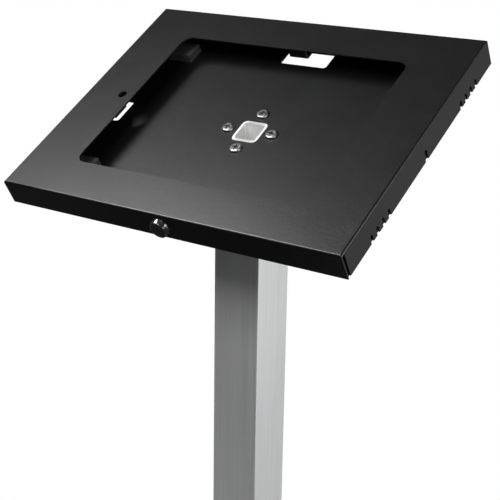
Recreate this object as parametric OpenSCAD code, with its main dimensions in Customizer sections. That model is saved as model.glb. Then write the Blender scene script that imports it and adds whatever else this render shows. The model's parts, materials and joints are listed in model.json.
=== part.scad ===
// Lockable tablet kiosk stand: a folded steel enclosure on a silver column with a flat base.
// Millimetres, +Z up. The origin is on the floor, on the axis of the column, and the front faces -Y.
// The enclosure has axes of its own: u across the face, v up its slope and w out of the face,
// with their origin at the middle of the face.

/* [Cover] */
// Width of the cover across the front
cover_w = 290; // [270:1:330]
// Depth of the cover along its slope
cover_d = 221; // [205:1:250]
// Height of the folded flanges
cover_h = 20.6; // [19:0.1:26]
// Thickness of the folded steel sheet
sheet_t = 1.2; // [0.8:0.1:1.3]
// Outside radius of the sheet bends
bend_r = 1.5; // [1.5:0.1:3]
// Slope of the face from level, in degrees
tilt = 30; // [20:1:40]
// Height of the middle of the face above the floor
face_height = 1100; // [700:5:1250]
// Width of the display window
window_w = 200.5; // [160:0.5:215]
// Depth of the display window along the slope
window_d = 152.5; // [120:0.5:160]
// Corner radius of the display window
window_r = 8; // [2:0.5:12]
// Diameter of the camera hole
camera_d = 7; // [4:0.5:9]
// Distance from the display window to the middle of the camera hole
camera_gap = 10.5; // [7:0.5:14]
// Width of the open seam between two flanges at a corner
seam_w = 2.4; // [0.8:0.1:3]

/* [Flange notches] */
// Width of a sound notch in the right flange
notch_w = 3.2; // [2:0.1:4]
// Height of a sound notch
notch_h = 6.2; // [4:0.1:9]
// Distance from one sound notch to the next
notch_pitch = 8.2; // [6:0.1:10]
// Number of sound notches in a group
notch_count = 4; // [2:1:5]
// Distance from the middle notch to the middle of each group
notch_group = 68; // [50:0.5:72]
// Width of the middle notch
middle_notch_w = 4; // [3:0.1:8]
// Height of the middle notch
middle_notch_h = 8.6; // [5:0.1:11]
// Place of the middle notch up the slope
notch_v = 3.6; // [0:0.1:6]

/* [Tray] */
// How far the tray stands below the cover's flanges
tray_drop = 1.6; // [1:0.1:4]
// Play between the tray and the cover's side flanges
side_play = 0.4; // [0.4:0.1:2]
// Play between the tray and the cover's front and rear flanges
end_play = 1; // [0.8:0.1:2]
// Gap under the cover where it rests on the tray's side walls
rest_gap = 0.3; // [0.2:0.05:0.5]
// Height of the tray's front wall above its floor
front_wall_h = 12; // [8:0.5:14]
// Height of the tray's rear wall above its floor
rear_wall_h = 5; // [4:0.5:6]
// Width of the cut in the front wall that lets the lock pass
lock_cut_w = 24; // [20:0.5:32]
// Width of the cable hole in the tray
cable_hole_w = 22.4; // [18:0.1:24]
// Corner radius of the cable hole
cable_hole_r = 4; // [2:0.5:6]
// Place of the cable hole up the slope
mount_v = 3.4; // [0:0.1:6]

/* [Hook and lugs] */
// Width of the rear window in the tray floor
rear_window_w = 40.9; // [36:0.1:50]
// Depth of the rear window
rear_window_d = 17.2; // [14:0.1:19]
// Corner radius of the tray's windows, whose edge under the hook stays straight
tray_window_r = 2.5; // [1:0.1:4]
// Floor left behind the rear window, which the hook takes hold of
rear_strip = 7.5; // [7:0.1:10]
// Width of the hook
hook_w = 16; // [10:0.5:20]
// Distance from the hook's plate to the edge it turns on
hook_reach = 5; // [3.5:0.1:6]
// Length of the hook's foot past the edge it turns on
hook_foot = 5; // [4:0.5:6]
// Play between the hook and the tray
hook_play = 0.3; // [0.2:0.05:0.5]
// Gap from the rear window's left edge to the hook
hook_side = 2.2; // [0.5:0.1:4]
// Length of the weld flange on the hook and the lugs
weld_flange = 9; // [6:0.5:10]
// Width of each side window in the tray floor
side_window_w = 9; // [8:0.1:11]
// Length of each side window along the slope
side_window_d = 23.8; // [18:0.1:26]
// Place of the side windows up the slope
side_window_v = 3.4; // [0:0.1:6]
// Distance from the tray's side wall to a side window
side_window_inset = 14.3; // [9:0.1:18]
// Distance from a side window's inner edge to the lug in it
lug_gap = 4.7; // [2:0.1:5]
// Length of each lug along the slope
lug_d = 14.4; // [10:0.1:16]
// Place of the lugs up the slope
lug_v = 2.4; // [0:0.1:6]
// How far each lug reaches into its window
lug_reach = 0.9; // [0.5:0.1:1.5]

/* [Bumpers] */
// Width of a rubber bumper
bumper_w = 26; // [18:0.5:30]
// Depth of a rubber bumper
bumper_d = 15.8; // [10:0.1:20]
// Height of a rubber bumper
bumper_h = 7.4; // [6:0.1:11]
// Edge radius on top of a bumper
bumper_r = 1.6; // [0.8:0.1:2.5]
// Width of the groove round a bumper
groove_w = 0.9; // [0.5:0.1:1.5]
// Depth of the groove round a bumper
groove_d = 0.7; // [0.3:0.1:1.5]
// Distance from the tray's side wall to a bumper
bumper_side = 16.9; // [13:0.1:22]
// Distance from the tray's rear wall to the rear bumpers
bumper_rear = 20.7; // [18:0.1:26]
// Distance from the tray's front wall to the front bumpers
bumper_front = 34.5; // [26:0.1:36]

/* [Lock] */
// Height of the lock's axis above the lower edge of the front flange
lock_up = 9.6; // [8.5:0.1:11]
// Diameter of the lock's collar
collar_d = 15.2; // [15:0.1:18]
// Height of the lock's collar
collar_h = 4.2; // [2:0.1:5]
// Edge radius of the collar
collar_edge = 2; // [0.5:0.1:2.2]
// Diameter of the lock's barrel
barrel_d = 11; // [10.4:0.1:12]
// Distance across the two flats of the barrel
barrel_flats = 9.6; // [9.2:0.1:10.2]
// Length of the barrel behind the front flange's outer face
barrel_l = 13.3; // [11:0.1:15]
// Play round the barrel in its hole, washer and nut
barrel_play = 0.15; // [0.1:0.01:0.2]
// Diameter of the turning plug
plug_d = 7; // [6:0.1:7.6]
// Diameter of the plug's face
plug_face_d = 10; // [9:0.1:11]
// Thickness of the plug's face
plug_face_t = 1.4; // [1:0.1:1.8]
// How far the plug's face lies below the collar's front
plug_sink = 0.4; // [0.2:0.1:0.8]
// Running clearance of the plug in the barrel
plug_play = 0.05; // [0.02:0.01:0.09]
// Width of the key slot
key_w = 1.4; // [1:0.1:1.8]
// Length of the key slot
key_l = 6; // [4:0.1:6.4]
// Depth of the key slot
key_depth = 7; // [3:0.5:9]
// Thickness of the lock washer
washer_t = 0.8; // [0.5:0.1:1.2]
// Diameter of the lock washer
washer_d = 15; // [14:0.1:16]
// Distance across the flats of the lock nut
nut_flats = 14; // [13.5:0.1:15]
// Thickness of the lock nut
nut_t = 3; // [2:0.1:4]
// Thickness of the cam
cam_t = 1.8; // [1.2:0.1:2.5]
// Width of the cam's arm
cam_w = 8; // [7:0.1:9]
// Reach of the cam from the lock's axis
cam_reach = 9; // [8:0.1:9.2]
// Width of the square end of the plug that turns the cam
tang_w = 4.6; // [4:0.1:4.8]
// Play between the barrel, the cam and its screw
cam_play = 0.2; // [0.1:0.05:0.3]
// Diameter of the cam screw's head
cam_screw_head_d = 6.5; // [6:0.1:7]
// Diameter of the cam screw's thread
cam_screw_d = 2.5; // [2:0.1:3]

/* [Keeper] */
// Width of the keeper up the slope
keeper_d = 8; // [6:0.5:10]
// Gap from the keeper to the barrel and to the cam's end
keeper_gap = 1.2; // [0.8:0.1:2]
// Gap over the cam when it lies locked
keeper_play = 0.6; // [0.4:0.1:1]
// Length of the keeper's foot on the tray floor
keeper_foot = 22; // [20:0.5:26]
// Diameter of a rivet's shank
rivet_d = 3; // [2.4:0.1:3.6]
// Diameter of a rivet's head
rivet_head_d = 5.4; // [4.5:0.1:6]
// Height of a rivet's head
rivet_head_h = 1.1; // [0.8:0.1:1.5]

/* [Head plate and screws] */
// Width of the square head plate
plate_w = 58; // [56:0.5:66]
// Thickness of the head plate
plate_t = 6; // [5:0.5:8]
// Corner radius of the head plate
plate_r = 5; // [2:0.5:8]
// Gap round the head plate's cable neck in the tray's hole
neck_play = 0.2; // [0.1:0.05:0.4]
// Wall of the cable neck
neck_wall = 2; // [1.5:0.1:2.5]
// How far the cable neck reaches below the tray floor
neck_drop = 24; // [20:0.5:40]
// Distance from the cable hole's middle to each screw
screw_r = 19.5; // [19:0.1:21]
// Diameter of a tray screw's thread
screw_d = 5; // [4:0.5:6]
// Length of a tray screw under its head
screw_l = 6.5; // [5:0.5:7]
// Diameter of a tray screw's head
screw_head_d = 10; // [8:0.1:11]
// Height of a tray screw's head
screw_head_h = 2; // [1.6:0.1:4]
// Width of the cross in a tray screw's head
cross_w = 1.2; // [0.8:0.1:1.6]
// Length of the cross in a tray screw's head
cross_l = 5.2; // [4:0.1:6]
// Depth of the cross in a tray screw's head
cross_depth = 1.4; // [0.8:0.1:1.5]
// Play round a fastener in its hole
hole_play = 0.2; // [0.1:0.05:0.4]

/* [Column] */
// Width of the column across the front
column_w = 41; // [38:0.5:44]
// Depth of the column from front to rear
column_d = 41; // [40:0.5:46]
// Wall of the column
column_wall = 2; // [1.5:0.1:3]
// Outside corner radius of the column
column_r = 1; // [0.5:0.1:1.5]
// Depth of the rear part of the column, whose sides stand back
step_d = 15.5; // [12:0.5:20]
// How far the sides of the rear part stand back
step_in = 0.3; // [0.2:0.05:0.5]
// How much further they stand back at the rear edge
step_taper = 0.8; // [0.2:0.05:0.9]
// Distance on the slope from the cable hole's middle to the column's axis
column_behind = 6.8; // [3:0.1:8]
// Height of the cable exit above the base plate
exit_up = 70; // [55:1:200]
// Diameter of the cable exit's hole in the column
exit_d = 22; // [18:0.5:26]
// Length of the threaded insert in the foot of the column
insert_l = 30; // [20:1:40]
// Gap round the insert
insert_gap = 0.15; // [0.1:0.05:0.3]

/* [Cable grommet] */
// Bore of the grommet
grommet_bore = 15; // [10:0.5:16]
// Width of the grommet's lips round the hole
grommet_lip = 2.6; // [2:0.1:4]
// Thickness of the grommet's lips
grommet_t = 1.8; // [1.2:0.1:2.5]
// Gap round the grommet's neck
grommet_gap = 0.15; // [0.1:0.05:0.3]

/* [Base] */
// Width of the base plate
base_w = 400; // [360:5:500]
// Depth of the base plate
base_d = 320; // [280:5:400]
// Thickness of the base plate
base_t = 8; // [6:0.5:12]
// Corner radius of the base plate
base_r = 18; // [5:1:30]
// Edge radius on top of the base plate
base_edge = 2; // [0.5:0.5:4]
// Diameter of a rubber foot
foot_d = 32; // [20:1:40]
// Height of a rubber foot
foot_h = 6; // [4:0.5:10]
// Taper of a rubber foot
foot_taper = 2.5; // [1:0.5:4]
// Distance from the base plate's edge to a foot's middle
foot_inset = 32; // [26:1:60]
// Thread of a base bolt
base_bolt_d = 6; // [5:0.5:8]
// Diameter of a base bolt's countersunk head
base_bolt_head_d = 12; // [11:0.5:13]
// Distance of each base bolt from the column's middle, along both sides
base_bolt_at = 10.5; // [9.5:0.5:11]
// Depth of a base bolt in the insert
base_bolt_grip = 16; // [10:0.5:18]
// Width across the flats of a base bolt's socket
base_socket = 4; // [3:0.5:5]

/* [Hidden] */
$fn = 64;
// Cuts run this far past the faces they open
past = 1;
far = 400;
hex = 6;
cover_under = -sheet_t;
tray_under = -cover_h - tray_drop;
tray_floor = tray_under + sheet_t;
tray_hw = cover_w / 2 - sheet_t - side_play;
tray_hd = cover_d / 2 - sheet_t - end_play;
tray_in_w = tray_hw - sheet_t;
tray_in_d = tray_hd - sheet_t;
side_wall_top = cover_under - rest_gap;
hinge_v = tray_hd - rear_strip;
hinge_w = tray_under + sheet_t / 2;
side_wall_end = hinge_v - sheet_t;
hook_v = hinge_v - hook_reach - sheet_t;
hook_left = hook_side - rear_window_w / 2;
hook_foot_top = tray_under - hook_play;
side_window_u = tray_in_w - side_window_inset - side_window_w / 2;
lug_u = side_window_u - side_window_w / 2 + lug_gap;
lug_low = tray_floor - lug_reach;
bumper_u = tray_in_w - bumper_side - bumper_w / 2;
bumper_rear_v = tray_in_d - bumper_rear - bumper_d / 2;
bumper_front_v = -tray_in_d + bumper_front + bumper_d / 2;
lock_w = lock_up - cover_h;
washer_back = -sheet_t - washer_t;
nut_back = washer_back - nut_t;
plug_front = collar_h - plug_sink;
plug_shoulder = plug_front - plug_face_t;
cam_front = -barrel_l - cam_play;
cam_back = cam_front - cam_t;
tang_back = cam_back + cam_play;
cam_tip_r = cam_w / 2;
cam_v = -cover_d / 2 - (cam_front + cam_back) / 2;
keeper_u = barrel_d / 2 + keeper_gap;
keeper_leg_u = cam_reach + keeper_gap;
keeper_ledge = lock_w + cam_w / 2 + keeper_play;
rivet_us = [keeper_leg_u + sheet_t + rivet_head_d, keeper_leg_u + keeper_foot - rivet_head_d];
plate_under = tray_under - plate_t;
// The column's axis meets the tray floor behind the cable hole, and the face hangs in front of it
face_back = (mount_v + column_behind) * cos(tilt) - tray_floor * sin(tilt);
// The cable neck stands upright like the column, so its depth is that of the sloping hole seen from above
neck_w = cable_hole_w - 2 * neck_play;
neck_d = neck_w * cos(tilt);
neck_y = mount_v * cos(tilt) - tray_floor * sin(tilt) - face_back;
neck_z = face_height + mount_v * sin(tilt) + tray_floor * cos(tilt);
base_top = foot_h + base_t;
column_in_w = column_w - 2 * column_wall;
column_in_d = column_d - 2 * column_wall;
column_in_r = column_r / 2;
exit_z = base_top + exit_up;
steel_black = [0.07, 0.07, 0.075];
silver = [0.72, 0.73, 0.74];
zinc = [0.8, 0.8, 0.78];
dark_nickel = [0.2, 0.2, 0.21];
rubber_black = [0.12, 0.12, 0.12];

// Enclosure axes: u, v and w become x, y and z of the children
module on_face() {
    translate([0, -face_back, face_height])
        rotate([tilt, 0, 0])
            children();
}

// Lock axes: x along u, y along w and z out of the front flange
module on_lock() {
    on_face()
        translate([0, -cover_d / 2, lock_w])
            rotate([90, 0, 0])
                children();
}

// Rectangle with round corners about the origin
module round_rect(w, d, r) {
    square([w - 2 * r, d], center = true);
    square([w, d - 2 * r], center = true);
    for (sx = [-1, 1], sy = [-1, 1])
        translate([sx * (w / 2 - r), sy * (d / 2 - r)])
            circle(r);
}

// Round cornered block that stands on z = 0
module round_block(w, d, h, r) {
    linear_extrude(h)
        round_rect(w, d, r);
}

// Half section of a pan: flat bottom at y = 0 with a bend at each end
module pan_section(half, h, r) {
    translate([-half, r])
        square([2 * half, h - r]);
    translate([r - half, 0])
        square([2 * (half - r), r]);
    for (s = [-1, 1])
        translate([s * (half - r), r])
            circle(r);
}

// Block with its four lower edges rounded as bends
module pan_block(half_w, half_d, h, r) {
    intersection() {
        rotate([90, 0, 0])
            linear_extrude(2 * half_d, center = true)
                pan_section(half_w, h, r);
        rotate([90, 0, 90])
            linear_extrude(2 * half_w, center = true)
                pan_section(half_d, h, r);
    }
}

// Folded sheet pan, open at the top
module folded_pan(half_w, half_d, h) {
    difference() {
        pan_block(half_w, half_d, h, bend_r);
        translate([0, 0, sheet_t])
            pan_block(half_w - sheet_t, half_d - sheet_t, h, bend_r - sheet_t);
    }
}

// Notch with a round top that is open at the lower edge of the right flange
module flange_notch(v, w, h) {
    translate([cover_w / 2 - sheet_t - past, v, -cover_h])
        rotate([90, 0, 90])
            linear_extrude(sheet_t + 2 * past) {
                translate([-w / 2, -past])
                    square([w, h - w / 2 + past]);
                translate([0, h - w / 2])
                    circle(d = w);
            }
}

// Section of a sheet bend: a quarter ring in the quadrant that the signs give
module bend(qx, qy) {
    intersection() {
        difference() {
            circle(bend_r);
            circle(bend_r - sheet_t);
        }
        scale([qx, qy])
            square(bend_r);
    }
}

// Half section of a disc that stands on y = 0, with its upper rim rounded
module rim_section(r, h, edge) {
    intersection() {
        square([r, h]);
        union() {
            square([r - edge, h]);
            square([r, h - edge]);
            translate([r - edge, h - edge])
                circle(edge);
        }
    }
}

// Round cornered plate that stands on z = 0, with its upper edges rounded
module edged_plate(w, d, h, r, edge) {
    rotate([90, 0, 90])
        linear_extrude(w - 2 * r, center = true)
            edged_section(d / 2, h, edge);
    rotate([90, 0, 0])
        linear_extrude(d - 2 * r, center = true)
            edged_section(w / 2, h, edge);
    for (sx = [-1, 1], sy = [-1, 1])
        translate([sx * (w / 2 - r), sy * (d / 2 - r), 0])
            rotate_extrude()
                rim_section(r, h, edge);
}

module edged_section(half, h, edge) {
    translate([0, h])
        mirror([0, 1])
            pan_section(half, h, edge);
}

// Two flats turn a round section into the lock's barrel
module flat_sided(d, flats) {
    intersection() {
        circle(d = d);
        square([d, flats], center = true);
    }
}

module cover() {
    color(steel_black)
        on_face()
            difference() {
                mirror([0, 0, 1])
                    folded_pan(cover_w / 2, cover_d / 2, cover_h);
                translate([0, 0, -sheet_t - past])
                    round_block(window_w, window_d, sheet_t + 2 * past, window_r);
                translate([-window_w / 2 - camera_gap, 0, -sheet_t - past])
                    cylinder(d = camera_d, h = sheet_t + 2 * past);
                for (su = [-1, 1])
                    cover_seams(su);
                flange_notch(notch_v, middle_notch_w, middle_notch_h);
                for (side = [-1, 1], i = [0 : notch_count - 1])
                    flange_notch(
                        notch_v + side * notch_group + (i - (notch_count - 1) / 2) * notch_pitch,
                        notch_w, notch_h);
                translate([0, -cover_d / 2 - past, lock_w])
                    rotate([-90, 0, 0])
                        linear_extrude(sheet_t + 2 * past)
                            flat_sided(barrel_d + 2 * barrel_play, barrel_flats + 2 * barrel_play);
            }
}

// The front flange closes the front corners and the side flanges close the rear ones, each with an open seam
module cover_seams(side) {
    translate([0, 0, -cover_h / 2 - bend_r]) {
        translate([side * cover_w / 2, sheet_t + seam_w / 2 - cover_d / 2, 0])
            cube([2 * bend_r, seam_w, cover_h], center = true);
        translate([side * (cover_w / 2 - sheet_t - seam_w / 2), cover_d / 2, 0])
            cube([seam_w, 2 * bend_r, cover_h], center = true);
    }
}

module tray() {
    color(steel_black)
        on_face() {
            difference() {
                translate([0, 0, tray_under])
                    folded_pan(tray_hw, tray_hd, side_wall_top - tray_under);
                tray_wall_cuts();
                tray_floor_cuts();
            }
            translate([0, hinge_v, hinge_w])
                rotate([0, 90, 0])
                    cylinder(d = sheet_t, h = rear_window_w, center = true);
        }
}

// The end walls are lower than the side walls, and each corner has an open seam
module tray_wall_cuts() {
    translate([-far / 2, -tray_hd - past, tray_floor + front_wall_h])
        cube([far, past + sheet_t + seam_w / 2, cover_h]);
    translate([-far / 2, side_wall_end, tray_floor + rear_wall_h])
        cube([far, far, cover_h]);
    for (su = [-1, 1], sv = [-1, 1])
        translate([su * tray_hw, sv * (tray_in_d - seam_w / 2), tray_under + bend_r + cover_h / 2])
            cube([2 * bend_r, seam_w, cover_h], center = true);
    translate([-lock_cut_w / 2, -tray_hd - past, tray_floor])
        cube([lock_cut_w, bend_r + past, cover_h]);
}

module tray_floor_cuts() {
    translate([0, 0, tray_under - past]) {
        translate([0, mount_v, 0])
            round_block(cable_hole_w, cable_hole_w, sheet_t + 2 * past, cable_hole_r);
        translate([0, hinge_v - rear_window_d / 2, 0]) {
            round_block(rear_window_w, rear_window_d, sheet_t + 2 * past, tray_window_r);
            translate([-rear_window_w / 2, 0, 0])
                cube([rear_window_w, rear_window_d / 2, sheet_t + 2 * past]);
        }
        for (su = [-1, 1])
            translate([su * side_window_u, side_window_v, 0])
                round_block(side_window_w, side_window_d, sheet_t + 2 * past, tray_window_r);
        at_tray_screws()
            cylinder(d = screw_d + 2 * hole_play, h = sheet_t + 2 * past);
        at_rivets()
            cylinder(d = rivet_d + 2 * hole_play, h = sheet_t + 2 * past);
    }
}

module at_tray_screws() {
    for (i = [0 : 3])
        translate([screw_r * cos(90 * i), mount_v + screw_r * sin(90 * i), 0])
            children();
}

module at_rivets() {
    for (u = rivet_us)
        translate([u, cam_v, 0])
            children();
}

// Hook: weld flange under the cover, plate through the window and foot under the tray floor
module rear_hook() {
    plate_h = cover_under - hook_foot_top;
    color(steel_black)
        on_face()
            translate([hook_left, hook_v, cover_under])
                rotate([90, 0, 90])
                    linear_extrude(hook_w) {
                        translate([bend_r, -sheet_t])
                            square([sheet_t + weld_flange - bend_r, sheet_t]);
                        translate([bend_r, -bend_r])
                            bend(-1, 1);
                        translate([0, bend_r - plate_h - sheet_t])
                            square([sheet_t, plate_h + sheet_t - 2 * bend_r]);
                        translate([bend_r, bend_r - plate_h - sheet_t])
                            bend(-1, -1);
                        translate([bend_r, -plate_h - sheet_t])
                            square([sheet_t + hook_reach + hook_foot - bend_r, sheet_t]);
                    }
}

// Angle lug that hangs from the cover into a side window
module side_lug(side) {
    color(steel_black)
        on_face()
            translate([0, lug_v + lug_d / 2, cover_under])
                rotate([90, 0, 0])
                    linear_extrude(lug_d)
                        scale([side, 1])
                            translate([lug_u, 0]) {
                                translate([0, lug_low - cover_under])
                                    square([sheet_t, cover_under - lug_low - bend_r]);
                                translate([bend_r, -bend_r])
                                    bend(-1, 1);
                                translate([bend_r, -sheet_t])
                                    square([sheet_t + weld_flange - bend_r, sheet_t]);
                            }
}

module bumper(side, v) {
    color(rubber_black)
        on_face()
            translate([side * bumper_u, v, tray_floor])
                difference() {
                    translate([0, 0, bumper_h])
                        mirror([0, 0, 1])
                            pan_block(bumper_w / 2, bumper_d / 2, bumper_h, bumper_r);
                    translate([0, 0, bumper_h / 2])
                        difference() {
                            cube([bumper_w + past, bumper_d + past, groove_w], center = true);
                            cube([bumper_w - 2 * groove_d, bumper_d - 2 * groove_d, bumper_h], center = true);
                        }
                }
}

// Pan head screw with a cross, seated on the tray floor and threaded into the head plate
module tray_screws() {
    color(zinc)
        on_face()
            at_tray_screws()
                translate([0, 0, tray_floor]) {
                    translate([0, 0, -screw_l])
                        cylinder(d = screw_d, h = screw_l);
                    difference() {
                        rotate_extrude()
                            rim_section(screw_head_d / 2, screw_head_h, screw_head_h * 0.8);
                        for (a = [0, 90])
                            translate([0, 0, screw_head_h])
                                rotate([0, 0, a])
                                    cube([cross_l, cross_w, 2 * cross_depth], center = true);
                    }
                }
}

// Plate under the tray with an upright cable neck, whose rim lies level with the tray floor
module head_plate() {
    color(silver)
        difference() {
            union() {
                on_face()
                    translate([0, mount_v, plate_under])
                        round_block(plate_w, plate_w, plate_t, plate_r);
                translate([0, neck_y, neck_z - neck_drop])
                    round_block(neck_w, neck_d, neck_drop + neck_d, cable_hole_r);
            }
            translate([0, neck_y, neck_z - neck_drop - past])
                round_block(neck_w - 2 * neck_wall, neck_d - 2 * neck_wall, far, cable_hole_r - neck_wall);
            on_face() {
                translate([-far / 2, -far / 2, tray_floor])
                    cube(far);
                at_tray_screws()
                    translate([0, 0, plate_under - past])
                        cylinder(d = screw_d + 2 * hole_play, h = plate_t + 2 * past);
            }
        }
}

// Section of the column: the sides of its rear part stand back and taper
module column_section() {
    difference() {
        round_rect(column_w, column_d, column_r);
        for (side = [-1, 1])
            scale([side, 1])
                polygon([
                    [column_w / 2 - step_in, column_d / 2 - step_d],
                    [column_w, column_d / 2 - step_d],
                    [column_w, column_d],
                    [column_w / 2 - step_in - step_taper, column_d / 2],
                ]);
        round_rect(column_in_w, column_in_d, column_in_r);
    }
}

module column() {
    color(silver)
        difference() {
            translate([0, 0, base_top])
                linear_extrude(face_height - base_top + column_w)
                    column_section();
            on_face()
                translate([-far / 2, -far / 2, plate_under])
                    cube(far);
            translate([0, column_d / 2 + past, exit_z])
                rotate([90, 0, 0])
                    cylinder(d = exit_d, h = column_wall + 2 * past);
        }
}

// Rubber grommet with a neck in the column's rear wall and a lip on each side of it
module cable_grommet() {
    neck_r = exit_d / 2 - grommet_gap;
    lip_r = exit_d / 2 + grommet_lip;
    bore_r = grommet_bore / 2;
    color(rubber_black)
        translate([0, column_d / 2 - column_wall, exit_z])
            rotate([-90, 0, 0])
                rotate_extrude() {
                    translate([bore_r, -grommet_t])
                        square([exit_d / 2 + grommet_lip / 2 - bore_r, grommet_t]);
                    translate([bore_r, -grommet_t])
                        square([neck_r - bore_r, column_wall + 2 * grommet_t]);
                    translate([bore_r, column_wall])
                        square([lip_r - grommet_t / 2 - bore_r, grommet_t]);
                    translate([bore_r, column_wall])
                        square([lip_r - bore_r, grommet_t / 2]);
                    translate([lip_r - grommet_t / 2, column_wall + grommet_t / 2])
                        circle(grommet_t / 2);
                }
}

// Threaded block in the foot of the column
module column_insert() {
    color(zinc)
        difference() {
            translate([0, 0, base_top])
                round_block(column_in_w - 2 * insert_gap, column_in_d - 2 * insert_gap, insert_l, column_r);
            at_base_bolts()
                translate([0, 0, base_top - past])
                    cylinder(d = base_bolt_d + 2 * hole_play, h = base_bolt_grip + 2 * past);
        }
}

module at_base_bolts() {
    for (sx = [-1, 1], sy = [-1, 1])
        translate([sx * base_bolt_at, sy * base_bolt_at, 0])
            children();
}

// Countersunk bolt, seen from below, with its head flush with the underside of the base plate
module bolt_shape(play) {
    head_d = base_bolt_head_d + 2 * play;
    shank_d = base_bolt_d + 2 * play;
    cylinder(d1 = head_d, d2 = shank_d, h = (head_d - shank_d) / 2);
    cylinder(d = shank_d, h = base_t + base_bolt_grip);
}

module base_bolts() {
    color(zinc)
        translate([0, 0, foot_h])
            at_base_bolts()
                difference() {
                    bolt_shape(0);
                    cylinder(d = base_socket, h = base_bolt_d, center = true, $fn = hex);
                }
}

module base_plate() {
    color(steel_black)
        difference() {
            translate([0, 0, foot_h])
                edged_plate(base_w, base_d, base_t, base_r, base_edge);
            translate([0, 0, foot_h])
                at_base_bolts() {
                    bolt_shape(hole_play);
                    translate([0, 0, -past])
                        cylinder(d = base_bolt_head_d + 2 * hole_play, h = past);
                }
        }
}

module base_foot(sx, sy) {
    color(rubber_black)
        translate([sx * (base_w / 2 - foot_inset), sy * (base_d / 2 - foot_inset), 0])
            cylinder(d1 = foot_d - 2 * foot_taper, d2 = foot_d, h = foot_h);
}

// Collar and barrel in one, with a stepped bore for the plug
module lock_barrel() {
    bore_r = plug_d / 2 + plug_play;
    face_r = plug_face_d / 2 + plug_play;
    seat = plug_shoulder - cam_play;
    color(dark_nickel)
        on_lock()
            difference() {
                union() {
                    rotate_extrude()
                        rim_section(collar_d / 2, collar_h, collar_edge);
                    translate([0, 0, -barrel_l])
                        linear_extrude(barrel_l)
                            flat_sided(barrel_d, barrel_flats);
                }
                translate([0, 0, -barrel_l - past])
                    cylinder(r = bore_r, h = barrel_l + collar_h + 2 * past);
                translate([0, 0, seat])
                    cylinder(r = face_r, h = collar_h);
            }
}

module lock_washer() {
    color(zinc)
        on_lock()
            translate([0, 0, washer_back])
                linear_extrude(washer_t)
                    difference() {
                        circle(d = washer_d);
                        circle(d = barrel_d + 2 * barrel_play);
                    }
}

module lock_nut() {
    corner_r = nut_flats / 2 / cos(180 / hex);
    bevel = (corner_r - nut_flats / 2) * tan(30);
    color(zinc)
        on_lock()
            translate([0, 0, nut_back])
                difference() {
                    cylinder(r = corner_r, h = nut_t, $fn = hex);
                    translate([0, 0, -past])
                        cylinder(d = barrel_d + 2 * barrel_play, h = nut_t + 2 * past);
                    rotate_extrude()
                        polygon([
                            [nut_flats / 2, 0],
                            [corner_r + past, 0],
                            [corner_r + past, bevel],
                            [corner_r, bevel]
                        ]);
                }
}

// Keyed plug with a square end for the cam
module lock_plug() {
    color(dark_nickel)
        on_lock()
            difference() {
                union() {
                    translate([0, 0, plug_shoulder])
                        cylinder(d = plug_face_d, h = plug_face_t);
                    translate([0, 0, -barrel_l])
                        cylinder(d = plug_d, h = barrel_l + plug_front);
                    translate([-tang_w / 2, -tang_w / 2, tang_back])
                        cube([tang_w, tang_w, barrel_l]);
                }
                translate([0, 0, plug_front])
                    cube([key_w, key_l, 2 * key_depth], center = true);
                translate([0, 0, tang_back - past])
                    cylinder(d = cam_screw_d + 2 * hole_play, h = cam_t + plug_d + past);
            }
}

// Cam that hangs down when unlocked and lies along u under the keeper when locked
module lock_cam() {
    arm = cam_reach - cam_tip_r;
    tang_hole = tang_w + 2 * plug_play;
    color(zinc)
        on_lock()
            translate([0, 0, cam_back])
                linear_extrude(cam_t)
                    difference() {
                        union() {
                            circle(d = cam_w);
                            translate([-cam_w / 2, -arm])
                                square([cam_w, arm]);
                            translate([0, -arm])
                                circle(cam_tip_r);
                        }
                        square([tang_hole, tang_hole], center = true);
                    }
}

module cam_screw() {
    head_h = cam_screw_d * 0.8;
    color(zinc)
        on_lock() {
            translate([0, 0, cam_back - head_h])
                difference() {
                    cylinder(d = cam_screw_head_d, h = head_h);
                    translate([0, 0, -past])
                        cylinder(d = cam_screw_d, h = head_h / 2 + past, $fn = hex);
                }
            translate([0, 0, cam_back])
                cylinder(d = cam_screw_d, h = cam_t + plug_d / 2);
        }
}

// Bracket on the tray floor whose ledge stops the locked cam from rising
module lock_keeper() {
    leg_h = keeper_ledge + sheet_t - tray_floor;
    ledge_h = keeper_ledge - tray_floor;
    leg_side = keeper_leg_u + sheet_t;
    color(zinc)
        on_face()
            difference() {
                translate([0, cam_v + keeper_d / 2, tray_floor])
                    rotate([90, 0, 0])
                        linear_extrude(keeper_d) {
                            translate([keeper_u, ledge_h])
                                square([leg_side - bend_r - keeper_u, sheet_t]);
                            translate([leg_side - bend_r, leg_h - bend_r])
                                bend(1, 1);
                            translate([keeper_leg_u, bend_r])
                                square([sheet_t, leg_h - 2 * bend_r]);
                            translate([keeper_leg_u + bend_r, bend_r])
                                bend(-1, -1);
                            translate([keeper_leg_u + bend_r, 0])
                                square([keeper_foot - bend_r, sheet_t]);
                        }
                at_rivets()
                    translate([0, 0, tray_floor - past])
                        cylinder(d = rivet_d + 2 * hole_play, h = sheet_t + 2 * past);
            }
}

module keeper_rivets() {
    color(zinc)
        on_face()
            at_rivets() {
                translate([0, 0, tray_under - rivet_head_h])
                    cylinder(d = rivet_head_d, h = rivet_head_h);
                translate([0, 0, tray_under])
                    cylinder(d = rivet_d, h = 2 * sheet_t);
                translate([0, 0, tray_floor + sheet_t])
                    cylinder(d1 = rivet_head_d, d2 = rivet_d, h = rivet_head_h);
            }
}

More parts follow.
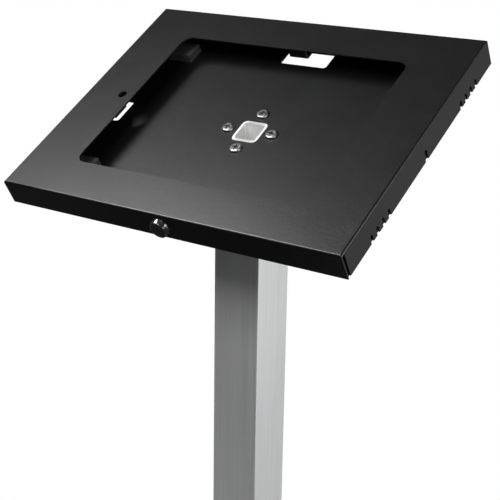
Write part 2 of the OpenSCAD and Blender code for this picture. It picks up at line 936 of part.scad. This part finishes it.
base_plate();
base_foot(-1, -1);  // base_foot_front_left
base_foot(1, -1);  // base_foot_front_right
base_foot(-1, 1);  // base_foot_rear_left
base_foot(1, 1);  // base_foot_rear_right
base_bolts();
column_insert();
column();
cable_grommet();
head_plate();
tray();
tray_screws();
bumper(-1, bumper_front_v);  // bumper_front_left
bumper(1, bumper_front_v);  // bumper_front_right
bumper(-1, bumper_rear_v);  // bumper_rear_left
bumper(1, bumper_rear_v);  // bumper_rear_right
lock_keeper();
keeper_rivets();
cover();
rear_hook();
side_lug(-1);  // left_lug
side_lug(1);  // right_lug
lock_barrel();
lock_washer();
lock_nut();
lock_plug();
lock_cam();
cam_screw();
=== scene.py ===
import json
import math

import bpy
from mathutils import Matrix, Vector


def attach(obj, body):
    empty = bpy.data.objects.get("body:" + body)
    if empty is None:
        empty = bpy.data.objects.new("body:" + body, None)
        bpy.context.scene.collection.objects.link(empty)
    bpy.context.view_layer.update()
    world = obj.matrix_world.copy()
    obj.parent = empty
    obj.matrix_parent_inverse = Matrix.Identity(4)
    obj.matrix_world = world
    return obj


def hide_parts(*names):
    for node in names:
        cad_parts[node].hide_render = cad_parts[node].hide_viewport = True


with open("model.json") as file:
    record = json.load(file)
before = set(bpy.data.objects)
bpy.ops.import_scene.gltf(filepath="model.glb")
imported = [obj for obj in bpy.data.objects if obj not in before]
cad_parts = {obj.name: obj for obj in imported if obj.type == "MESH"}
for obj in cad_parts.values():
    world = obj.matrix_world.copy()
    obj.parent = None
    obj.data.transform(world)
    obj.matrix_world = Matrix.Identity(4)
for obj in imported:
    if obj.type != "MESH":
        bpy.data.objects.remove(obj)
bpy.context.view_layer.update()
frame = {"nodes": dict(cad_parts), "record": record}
nodes = frame["nodes"]
record = frame["record"]
scene = bpy.context.scene
scene.view_settings.view_transform = "Standard"

# Camera of the photo, fitted to the corners of the enclosure, with its angles in degrees
CAMERA_AT = Vector((0.4870, -0.70315, 1.2671))
CAMERA_YAW = 34.82
CAMERA_DOWN = 17.91
CAMERA_ROLL = 0.94
LENS_MM = 84.92
SENSOR_MM = 36.0
CLIP_START = 0.01


def add_camera():
    yaw = math.radians(CAMERA_YAW)
    down = math.radians(CAMERA_DOWN)
    roll = math.radians(CAMERA_ROLL)
    forward = Vector((-math.sin(yaw) * math.cos(down), math.cos(yaw) * math.cos(down), -math.sin(down)))
    level_right = Vector((math.cos(yaw), math.sin(yaw), 0.0))
    level_up = level_right.cross(forward)
    right = level_right * math.cos(roll) + level_up * math.sin(roll)
    up = level_up * math.cos(roll) - level_right * math.sin(roll)
    data = bpy.data.cameras.new("photo_camera")
    data.lens = LENS_MM
    data.sensor_width = SENSOR_MM
    data.sensor_fit = "HORIZONTAL"
    data.clip_start = CLIP_START
    camera = bpy.data.objects.new("photo_camera", data)
    turn = Matrix((right, up, -forward)).transposed().to_4x4()
    camera.matrix_world = Matrix.Translation(CAMERA_AT) @ turn
    scene.collection.objects.link(camera)
    scene.camera = camera


add_camera()

# Noise between these two values is spread over the whole range of what it drives
NOISE_LOW = 0.3
NOISE_HIGH = 0.7


class Tree:
    """A material's node tree with short calls for the nodes that are used here."""

    def __init__(self, name):
        self.material = bpy.data.materials.new(name)
        self.material.use_nodes = True
        self.tree = self.material.node_tree
        self.tree.nodes.clear()
        self.out = self.tree.nodes.new("ShaderNodeOutputMaterial")
        self.shader = self.tree.nodes.new("ShaderNodeBsdfPrincipled")
        self.link(self.shader.outputs["BSDF"], self.out.inputs["Surface"])
        self.coords = self.tree.nodes.new("ShaderNodeTexCoord").outputs["Object"]

    def link(self, a, b):
        self.tree.links.new(a, b)

    def set(self, **values):
        for name, value in values.items():
            self.shader.inputs[name.replace("_", " ")].default_value = value

    def feed(self, name, socket):
        self.link(socket, self.shader.inputs[name])

    def stretch(self, scale):
        node = self.tree.nodes.new("ShaderNodeMapping")
        node.inputs["Scale"].default_value = scale
        self.link(self.coords, node.inputs["Vector"])
        return node.outputs["Vector"]

    def noise(self, scale, detail, rough=0.5, vector=None):
        node = self.tree.nodes.new("ShaderNodeTexNoise")
        node.inputs["Scale"].default_value = scale
        node.inputs["Detail"].default_value = detail
        node.inputs["Roughness"].default_value = rough
        self.link(vector or self.coords, node.inputs["Vector"])
        return node.outputs["Fac"]

    def span(self, socket, low, high, start=NOISE_LOW, end=NOISE_HIGH):
        node = self.tree.nodes.new("ShaderNodeMapRange")
        node.inputs["From Min"].default_value = start
        node.inputs["From Max"].default_value = end
        node.inputs["To Min"].default_value = low
        node.inputs["To Max"].default_value = high
        self.link(socket, node.inputs["Value"])
        return node.outputs["Result"]

    def ramp(self, socket, low, high):
        node = self.tree.nodes.new("ShaderNodeValToRGB")
        node.color_ramp.elements[0].position = NOISE_LOW
        node.color_ramp.elements[0].color = (*low, 1.0)
        node.color_ramp.elements[1].position = NOISE_HIGH
        node.color_ramp.elements[1].color = (*high, 1.0)
        self.link(socket, node.inputs["Fac"])
        return node.outputs["Color"]

    def add(self, a, b):
        node = self.tree.nodes.new("ShaderNodeMath")
        node.operation = "ADD"
        self.link(a, node.inputs[0])
        self.link(b, node.inputs[1])
        return node.outputs["Value"]

    def bump(self, height, strength, distance, below=None):
        node = self.tree.nodes.new("ShaderNodeBump")
        node.inputs["Strength"].default_value = strength
        node.inputs["Distance"].default_value = distance
        self.link(height, node.inputs["Height"])
        if below is not None:
            self.link(below, node.inputs["Normal"])
        return node.outputs["Normal"]


# Materials, one for each slot of the record
def powder_black():
    t = Tree("powder_black")
    grain = t.noise(scale=1300.0, detail=3.0, rough=0.6)
    peel = t.noise(scale=420.0, detail=2.0, rough=0.6)
    mottle = t.noise(scale=60.0, detail=4.0, rough=0.65)
    t.feed("Base Color", t.ramp(grain, low=(0.0030, 0.0030, 0.0032), high=(0.0062, 0.0062, 0.0065)))
    broad = t.span(mottle, low=0.339, high=0.376)
    t.feed("Roughness", t.add(broad, t.span(grain, low=-0.03, high=0.03)))
    fine = t.bump(grain, strength=0.22, distance=0.00012)
    t.feed("Normal", t.bump(peel, strength=0.17, distance=0.0003, below=fine))
    t.set(IOR=1.52)
    return t.material


def silver_tube():
    t = Tree("silver_tube")
    drawn = t.noise(scale=900.0, detail=3.0, rough=0.6, vector=t.stretch((1.0, 1.0, 0.012)))
    cloud = t.noise(scale=9.0, detail=3.0)
    t.feed("Base Color", t.ramp(drawn, low=(0.76, 0.765, 0.77), high=(0.84, 0.845, 0.85)))
    satin = t.span(drawn, low=0.58, high=0.66)
    t.feed("Roughness", t.add(satin, t.span(cloud, low=-0.03, high=0.03)))
    t.feed("Normal", t.bump(drawn, strength=0.06, distance=0.00008))
    t.set(Metallic=0.72)
    return t.material


def plate_steel():
    t = Tree("plate_steel")
    ground = t.noise(scale=1200.0, detail=3.0, rough=0.6, vector=t.stretch((1.0, 0.04, 0.04)))
    t.feed("Base Color", t.ramp(ground, low=(0.76, 0.76, 0.755), high=(0.85, 0.85, 0.845)))
    t.feed("Roughness", t.span(ground, low=0.34, high=0.48))
    t.feed("Normal", t.bump(ground, strength=0.12, distance=0.00008))
    t.set(Metallic=0.52)
    return t.material


def zinc_steel():
    t = Tree("zinc_steel")
    spangle = t.noise(scale=420.0, detail=3.0, rough=0.6)
    t.feed("Base Color", t.ramp(spangle, low=(0.30, 0.302, 0.305), high=(0.41, 0.41, 0.406)))
    t.feed("Roughness", t.span(spangle, low=0.27, high=0.36))
    t.feed("Normal", t.bump(spangle, strength=0.06, distance=0.0001))
    t.set(Metallic=1.0)
    return t.material


def lock_nickel():
    t = Tree("lock_nickel")
    haze = t.noise(scale=600.0, detail=3.0, rough=0.6)
    t.feed("Base Color", t.ramp(haze, low=(0.085, 0.085, 0.087), high=(0.125, 0.125, 0.128)))
    t.feed("Roughness", t.span(haze, low=0.09, high=0.15))
    t.feed("Normal", t.bump(haze, strength=0.03, distance=0.0001))
    t.set(Metallic=0.8)
    return t.material


def rubber_black():
    t = Tree("rubber_black")
    pores = t.noise(scale=1500.0, detail=3.0, rough=0.65)
    cloud = t.noise(scale=60.0, detail=3.0)
    t.feed("Base Color", t.ramp(cloud, low=(0.042, 0.042, 0.043), high=(0.062, 0.062, 0.063)))
    t.feed("Roughness", t.span(pores, low=0.62, high=0.78))
    t.feed("Normal", t.bump(pores, strength=0.2, distance=0.0001))
    return t.material


SLOT_MAKERS = {
    "powder_black": powder_black,
    "silver_tube": silver_tube,
    "plate_steel": plate_steel,
    "zinc_steel": zinc_steel,
    "lock_nickel": lock_nickel,
    "rubber_black": rubber_black,
}
SMOOTH_ANGLE = math.radians(28)
materials = {slot: make() for slot, make in SLOT_MAKERS.items()}


def dress(mesh, slot):
    mesh.materials.clear()
    mesh.materials.append(materials[slot])
    mesh.shade_smooth()
    mesh.set_sharp_from_angle(angle=SMOOTH_ANGLE)


for part in record["subparts"]:
    dress(nodes[part["node"]].data, part["material_slot"])

# Lock barrel with a tapered collar, as in the photo, in place of the plain CAD one
# Sizes are in millimetres, and lengths run along the lock's axis from the outside of the cover's front flange
MM_PER_M = 1000
LOCK_SIDES = 96
BARREL_FLAT = 4.8
BARREL_REAR = -13.3
BORE_R = 3.55
BARREL_R = 5.5
COLLAR_R = 7.6
COLLAR_BAND = 0.4
COLLAR_FRONT = 4.2
TAPER_START_R = 7.5
TAPER_START = 0.6
TAPER_END_R = 6.95
TAPER_END = 3.3
RIM_R = 6.05
RIM_STEPS = 6
FACE_R = 5.05
FACE_EDGE = 0.15
FACE_SEAT = 2.2


def barrel_profile():
    """Points of the half section: radius, length along the axis, and whether the barrel's flats cut there."""
    points = [
        (BORE_R, BARREL_REAR, False),
        (BARREL_R, BARREL_REAR, True),
        (BARREL_R, 0.0, True),
        (COLLAR_R, 0.0, False),
        (COLLAR_R, COLLAR_BAND, False),
        (TAPER_START_R, TAPER_START, False),
    ]
    for i in range(RIM_STEPS + 1):
        turn = math.pi / 2 * i / RIM_STEPS
        r = RIM_R + (TAPER_END_R - RIM_R) * math.cos(turn)
        along = TAPER_END + (COLLAR_FRONT - TAPER_END) * math.sin(turn)
        points.append((r, along, False))
    points += [
        (FACE_R + FACE_EDGE, COLLAR_FRONT, False),
        (FACE_R, COLLAR_FRONT - FACE_EDGE, False),
        (FACE_R, FACE_SEAT, False),
        (BORE_R, FACE_SEAT, False),
    ]
    return points


def add_lock_barrel():
    joint = next(j for j in record["behaviour"]["joints"] if j["name"] == "lock_turn")
    at = Vector(joint["pos_m"])
    out = Vector(joint["axis"]).normalized()
    across = Vector((1.0, 0.0, 0.0))
    up = out.cross(across)
    points = barrel_profile()
    verts = []
    for r, along, flat in points:
        for side in range(LOCK_SIDES):
            turn = 2 * math.pi * side / LOCK_SIDES
            x = r * math.cos(turn)
            y = r * math.sin(turn)
            if flat:
                y = max(-BARREL_FLAT, min(BARREL_FLAT, y))
            verts.append(at + (across * x + up * y + out * along) / MM_PER_M)
    faces = []
    for i in range(len(points)):
        ring = i * LOCK_SIDES
        next_ring = (i + 1) % len(points) * LOCK_SIDES
        for side in range(LOCK_SIDES):
            next_side = (side + 1) % LOCK_SIDES
            faces.append((ring + side, ring + next_side, next_ring + next_side, next_ring + side))
    mesh = bpy.data.meshes.new("lock_barrel_tapered")
    mesh.from_pydata(verts, [], faces)
    dress(mesh, "lock_nickel")
    barrel = bpy.data.objects.new("lock_barrel_tapered", mesh)
    scene.collection.objects.link(barrel)
    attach(barrel, "cover")
    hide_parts("lock_barrel")


add_lock_barrel()

# Floor: pale and matt round the base, fading into the white surroundings
FLOOR_RADIUS = 2.0
FLOOR_SIDES = 96
FLOOR_FADE_START = 0.25
FLOOR_FADE_END = 0.42


def add_floor():
    ring = []
    for side in range(FLOOR_SIDES):
        turn = 2 * math.pi * side / FLOOR_SIDES
        ring.append((FLOOR_RADIUS * math.cos(turn), FLOOR_RADIUS * math.sin(turn), 0.0))
    mesh = bpy.data.meshes.new("floor")
    mesh.from_pydata(ring, [], [tuple(range(FLOOR_SIDES))])
    floor = bpy.data.objects.new("floor", mesh)
    scene.collection.objects.link(floor)
    t = Tree("floor_paper")
    paper = t.noise(scale=3.0, detail=3.0)
    t.feed("Base Color", t.ramp(paper, low=(0.80, 0.80, 0.80), high=(0.83, 0.83, 0.83)))
    t.set(Roughness=0.95, Specular_IOR_Level=0.1)
    length = t.tree.nodes.new("ShaderNodeVectorMath")
    length.operation = "LENGTH"
    t.link(t.coords, length.inputs[0])
    fade = t.span(length.outputs["Value"], low=1.0, high=0.0, start=FLOOR_FADE_START, end=FLOOR_FADE_END)
    clear = t.tree.nodes.new("ShaderNodeBsdfTransparent")
    mix = t.tree.nodes.new("ShaderNodeMixShader")
    t.link(fade, mix.inputs["Fac"])
    t.link(clear.outputs["BSDF"], mix.inputs[1])
    t.link(t.shader.outputs["BSDF"], mix.inputs[2])
    t.link(mix.outputs["Shader"], t.out.inputs["Surface"])
    mesh.materials.append(t.material)


add_floor()

# World: white to the camera, a studio with brighter and darker parts to reflections, and a soft fill
WHITE = (1.0, 1.0, 1.0, 1.0)
FILL_STRENGTH = 0.105


def add_world():
    world = bpy.data.worlds.new("studio")
    scene.world = world
    world.use_nodes = True
    tree = world.node_tree
    tree.nodes.clear()
    out = tree.nodes.new("ShaderNodeOutputWorld")
    white = tree.nodes.new("ShaderNodeBackground")
    white.inputs["Color"].default_value = WHITE
    room = tree.nodes.new("ShaderNodeBackground")
    fill = tree.nodes.new("ShaderNodeBackground")
    fill.inputs["Color"].default_value = WHITE
    fill.inputs["Strength"].default_value = FILL_STRENGTH
    path = tree.nodes.new("ShaderNodeLightPath")
    coords = tree.nodes.new("ShaderNodeTexCoord")
    split = tree.nodes.new("ShaderNodeSeparateXYZ")
    tree.links.new(coords.outputs["Generated"], split.inputs["Vector"])

    def smooth(axis, start, end, low, high):
        node = tree.nodes.new("ShaderNodeMapRange")
        node.interpolation_type = "SMOOTHSTEP"
        node.inputs["From Min"].default_value = start
        node.inputs["From Max"].default_value = end
        node.inputs["To Min"].default_value = low
        node.inputs["To Max"].default_value = high
        tree.links.new(split.outputs[axis], node.inputs["Value"])
        return node.outputs["Result"]

    def joined(kind, a, b):
        node = tree.nodes.new("ShaderNodeMath")
        node.operation = kind
        tree.links.new(a, node.inputs[0])
        tree.links.new(b, node.inputs[1])
        return node.outputs["Value"]

    def times(a, b):
        return joined("MULTIPLY", a, b)

    def plus(a, b):
        return joined("ADD", a, b)

    def mixed(share, first, second):
        node = tree.nodes.new("ShaderNodeMixShader")
        tree.links.new(share, node.inputs["Fac"])
        tree.links.new(first, node.inputs[1])
        tree.links.new(second, node.inputs[2])
        return node.outputs["Shader"]

    behind = smooth("Y", start=-0.1, end=0.55, low=0.015, high=0.60)
    above = smooth("Z", start=-0.35, end=0.25, low=1.0, high=0.08)
    below = smooth("Z", start=-0.80, end=-0.12, low=0.03, high=1.0)
    side = smooth("X", start=-0.4, end=1.0, low=0.25, high=1.25)
    left = smooth("X", start=-0.90, end=-0.50, low=0.18, high=0.0)
    down = smooth("Z", start=-0.75, end=-0.40, low=1.0, high=0.0)
    right = smooth("X", start=-0.62, end=-0.35, low=0.0, high=0.112)
    ceiling = smooth("Z", start=0.50, end=0.80, low=0.0, high=1.0)
    band = times(times(behind, above), times(below, side))
    low_left = times(left, down)
    high_right = times(right, ceiling)
    tree.links.new(plus(band, plus(low_left, high_right)), room.inputs["Strength"])
    reflected = joined("MAXIMUM", path.outputs["Is Glossy Ray"], path.outputs["Is Transmission Ray"])
    unseen = mixed(reflected, fill.outputs["Background"], room.outputs["Background"])
    whole = mixed(path.outputs["Is Camera Ray"], unseen, white.outputs["Background"])
    tree.links.new(whole, out.inputs["Surface"])


add_world()

# Softboxes, all aimed at the enclosure, with the full angle of their light in degrees
ENCLOSURE = Vector((0.0, -0.02, 1.1))
OPEN_SPREAD = 180.0
GRID_SPREAD = 80.0


def add_softbox(name, at, width, height, watts, spread=OPEN_SPREAD):
    data = bpy.data.lights.new(name, "AREA")
    data.shape = "RECTANGLE"
    data.size = width
    data.size_y = height
    data.energy = watts
    data.spread = math.radians(spread)
    light = bpy.data.objects.new(name, data)
    at = Vector(at)
    turn = (ENCLOSURE - at).to_track_quat("-Z", "Y")
    light.matrix_world = Matrix.Translation(at) @ turn.to_matrix().to_4x4()
    scene.collection.objects.link(light)


add_softbox("key_left", at=(-0.50, -0.30, 1.79), width=0.40, height=0.38, watts=9.3)
add_softbox("front_top", at=(0.10, -1.40, 2.20), width=1.0, height=0.6, watts=15.5)
add_softbox("front_right", at=(1.58, -0.62, 1.34), width=0.7, height=0.7, watts=9.0)
add_softbox("right_rear", at=(1.45, 0.32, 1.22), width=0.8, height=0.9, watts=12.4)
add_softbox("rear", at=(-0.45, 1.50, 0.95), width=1.2, height=0.9, watts=4.2, spread=GRID_SPREAD)
